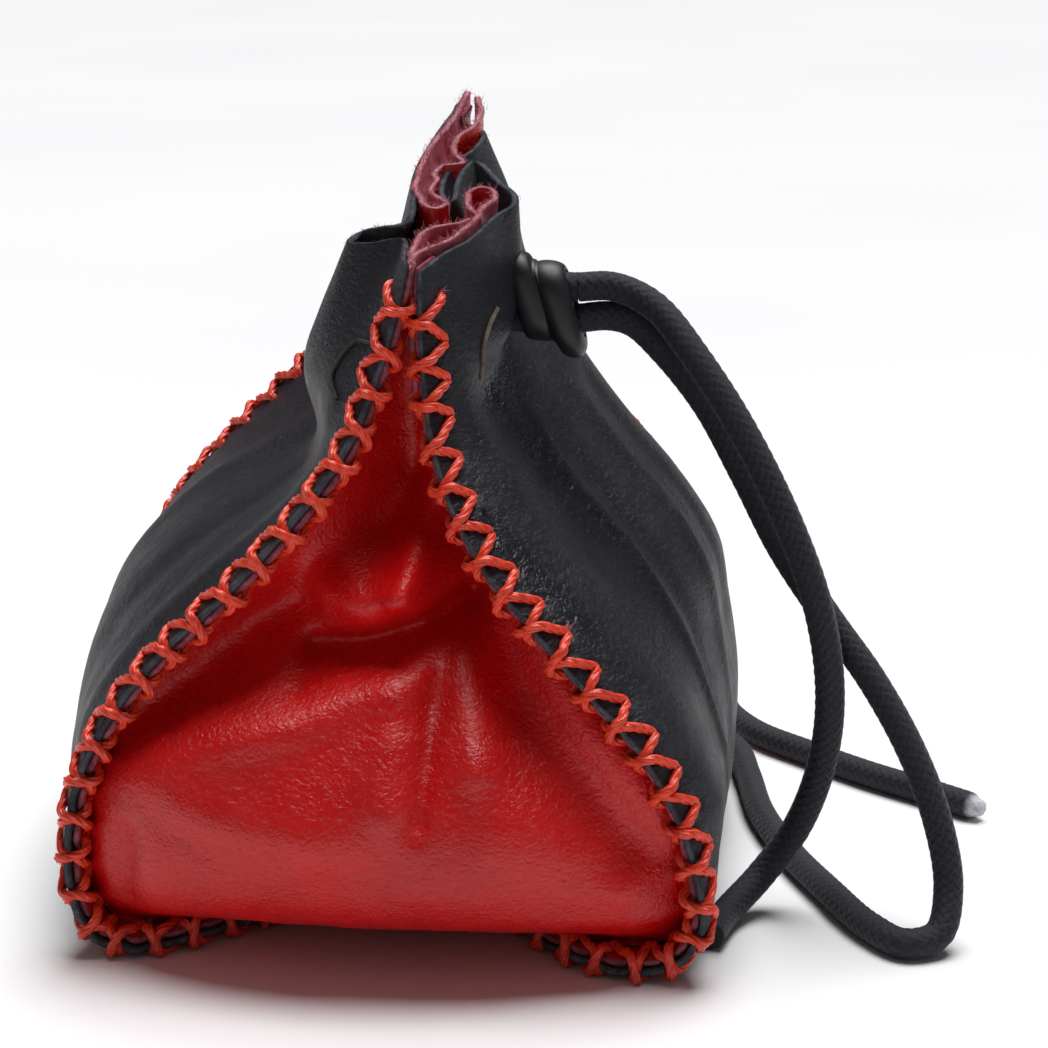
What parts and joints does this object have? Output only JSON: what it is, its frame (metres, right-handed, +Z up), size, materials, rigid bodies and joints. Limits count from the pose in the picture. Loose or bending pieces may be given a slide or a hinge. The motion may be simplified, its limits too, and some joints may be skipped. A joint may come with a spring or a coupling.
{
  "type": "drawstring dice bag",
  "caption": "Hand-laced lined leather pouch with red end gussets, a gathered neck and a braided drawstring through a sliding cord stop.",
  "frame": {"origin": "centre of the bag's bounding box in plan, on the surface it stands on, without the free cord tails", "axes": "+Z up to the mouth, -Y out of the near red gusset, +X out of the side wall that the cord tails leave"},
  "size_m": [0.1328, 0.1223, 0.1067],
  "materials": {
    "black_leather": "satin grained leather",
    "red_leather": "semi-gloss smooth leather",
    "liner_leather": "smooth red inside, suede outside",
    "lace_thread": "waxed twisted thread",
    "cord_braid": "matt woven braid",
    "stop_plastic": "satin moulded"
  },
  "bodies": {
    "base": {"outer_base": "black_leather", "near_gusset": "red_leather", "far_gusset": "red_leather", "liner_base": "liner_leather", "liner_near_gusset": "liner_leather", "liner_far_gusset": "liner_leather", "near_bottom_lacing": "lace_thread", "far_bottom_lacing": "lace_thread"},
    "left_wall": {"outer_left_wall": "black_leather", "liner_left_wall": "liner_leather", "near_left_lacing": "lace_thread", "far_left_lacing": "lace_thread", "drawstring_loop": "cord_braid"},
    "right_wall": {"outer_right_wall": "black_leather", "liner_right_wall": "liner_leather", "near_right_lacing": "lace_thread", "far_right_lacing": "lace_thread", "drawstring_run_upper": "cord_braid", "drawstring_run_lower": "cord_braid", "drawstring_tail_a": "cord_braid", "drawstring_tail_b": "cord_braid"},
    "cord_stop": {"cord_stop": "stop_plastic"}
  },
  "joints": [
    {"name": "right_wall_open", "type": "hinge", "parent": "base", "child": "right_wall", "pos_m": [0.035, 0, 0.0006], "axis": [0, 1, 0], "range_deg": [0, 15]},
    {"name": "left_wall_open", "type": "hinge", "parent": "base", "child": "left_wall", "pos_m": [-0.031, 0, 0.0006], "axis": [0, -1, 0], "range_deg": [0, 15]},
    {"name": "cord_stop_slide", "type": "slide", "parent": "right_wall", "child": "cord_stop", "axis": [1, 0, 0], "range_m": [0, 0.005]}
  ],
  "couplings": [
    {"joint": "left_wall_open", "follows": "right_wall_open", "ratio": 1}
  ]
}
